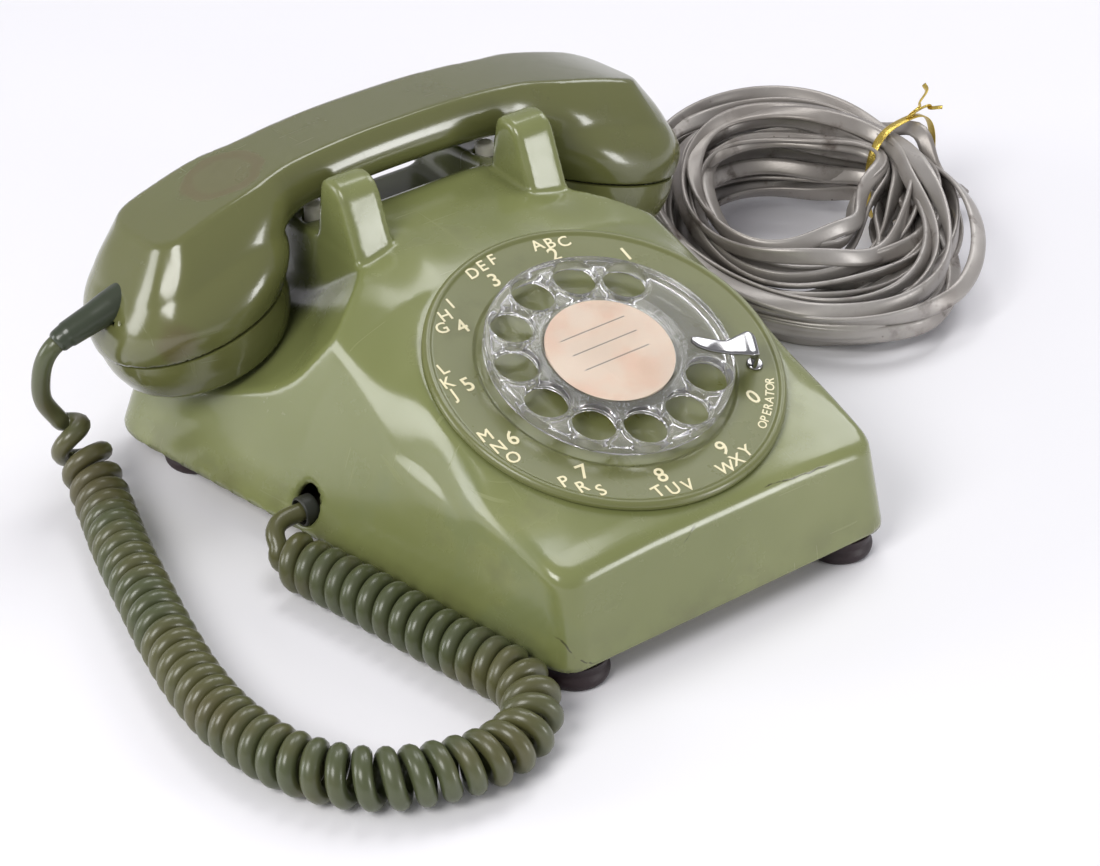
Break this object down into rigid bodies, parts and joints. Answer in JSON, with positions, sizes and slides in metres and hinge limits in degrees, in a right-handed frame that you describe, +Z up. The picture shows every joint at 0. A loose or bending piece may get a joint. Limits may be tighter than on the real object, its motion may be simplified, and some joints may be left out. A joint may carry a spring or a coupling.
{
  "type": "corded landline phone",
  "caption": "Rotary desk telephone with a lift-off handset, finger dial, hook plungers, ringer, curly handset cord and bundled flat line cord.",
  "frame": {"origin": "on the table, under the middle of the casing and handset", "axes": "+X to the right of the person dialling and along the handset, -Y towards that person, +Z up"},
  "size_m": [0.3738, 0.2463, 0.1005],
  "materials": {
    "casing": "moss-green moulded plastic, glossy with fine scratches",
    "handset": "moss-green moulded plastic, worn to a satin sheen",
    "number_plate": "darker olive plastic with cream lettering",
    "clear": "clear acrylic, polished",
    "card": "pale salmon paper card",
    "chrome": "polished chrome plate",
    "steel": "bare machined steel",
    "zinc": "yellow zinc plated steel sheet",
    "brass": "stamped and turned brass",
    "foot": "dark maroon moulded foot",
    "black": "black moulded plastic",
    "bakelite": "dark phenolic moulding",
    "copper": "varnished copper winding",
    "plunger": "off-white moulded plastic",
    "green_cord": "green vinyl cord jacket, dulled by handling",
    "silver_cord": "silver-grey vinyl cord jacket with brown specks",
    "tie": "gold paper-and-wire twist tie"
  },
  "bodies": {
    "root": {"housing_shell": "casing", "base_plate": "zinc", "foot_front_left": "foot", "foot_front_right": "foot", "foot_rear_left": "foot", "foot_rear_right": "foot", "housing_screw_front": "steel", "housing_screw_rear": "steel", "number_plate": "number_plate", "dial_frame": "zinc", "dial_bridge": "steel", "dial_post_1": "steel", "dial_post_2": "steel", "dial_post_3": "steel", "governor_cup": "steel", "pulse_contacts": "bakelite", "finger_stop": "chrome", "dial_bracket_left": "zinc", "dial_bracket_right": "zinc", "hook_bracket": "zinc", "hook_contacts": "bakelite", "network_block": "bakelite", "terminal_strip": "brass", "ringer_frame": "zinc", "ringer_coil": "copper", "gong_left": "brass", "gong_right": "brass", "gong_screw_left": "steel", "gong_screw_right": "steel", "handset_cord_tail": "green_cord", "handset_cord_coil": "green_cord", "handset_cord_lead": "green_cord", "cord_grommet": "black", "line_grommet": "black", "line_cord_tail": "silver_cord", "line_cord_bundle": "silver_cord", "cord_tie": "tie", "line_plug": "clear"},
    "handset": {"handset_shell": "handset", "transmitter_cap": "handset", "receiver_cap": "handset", "transmitter_capsule": "bakelite", "receiver_capsule": "bakelite", "transmitter_cup": "bakelite", "handset_boot": "green_cord"},
    "dial_rotor": {"finger_wheel": "clear", "number_card": "card", "card_cover": "clear", "dial_spindle": "steel", "main_gear": "brass"},
    "pulse_rotor": {"pulse_shaft": "steel", "pulse_pinion": "brass", "pulse_cam": "bakelite", "governor_weights": "brass"},
    "left_plunger": {"plunger_left": "plunger"},
    "right_plunger": {"plunger_right": "plunger"},
    "hook_rocker": {"hook_lever": "zinc"},
    "bell_clapper": {"clapper": "steel"},
    "ringer_volume": {"volume_wheel": "black"}
  },
  "joints": [
    {"name": "handset_lift", "type": "slide", "parent": "root", "child": "handset", "axis": [0, 0, 1], "range_m": [0, 0.06]},
    {"name": "left_plunger_rise", "type": "slide", "parent": "root", "child": "left_plunger", "axis": [0, 0, 1], "range_m": [0, 0.005]},
    {"name": "right_plunger_rise", "type": "slide", "parent": "root", "child": "right_plunger", "axis": [0, 0, 1], "range_m": [0, 0.005]},
    {"name": "hook_lever_tilt", "type": "hinge", "parent": "root", "child": "hook_rocker", "pos_m": [0, 0.046, 0.06], "axis": [1, 0, 0], "range_deg": [0, 14]},
    {"name": "dial_turn", "type": "hinge", "parent": "root", "child": "dial_rotor", "pos_m": [0, -0.0406, 0.0588], "axis": [0, 0.3156, -0.9489], "range_deg": [0, 330], "stiffness_Nm_per_rad": 0.002},
    {"name": "pulse_turn", "type": "hinge", "parent": "root", "child": "pulse_rotor", "pos_m": [-0.02312, -0.05327, 0.05459], "axis": [0, -0.3156, 0.9489], "range_deg": [0, 1000]},
    {"name": "clapper_swing", "type": "hinge", "parent": "root", "child": "bell_clapper", "pos_m": [0.038, 0.0305, 0.018], "axis": [0, 0, 1], "range_deg": [-3, 3]},
    {"name": "volume_turn", "type": "hinge", "parent": "root", "child": "ringer_volume", "pos_m": [0.061, -0.008, 0.008], "axis": [0, 0, 1], "range_deg": [0, 120]}
  ],
  "couplings": [
    {"joint": "left_plunger_rise", "follows": "handset_lift", "ratio": 0.075},
    {"joint": "right_plunger_rise", "follows": "handset_lift", "ratio": 0.075},
    {"joint": "hook_lever_tilt", "follows": "handset_lift", "rad_per_m": 3.75},
    {"joint": "pulse_turn", "follows": "dial_turn", "ratio": 3}
  ]
}
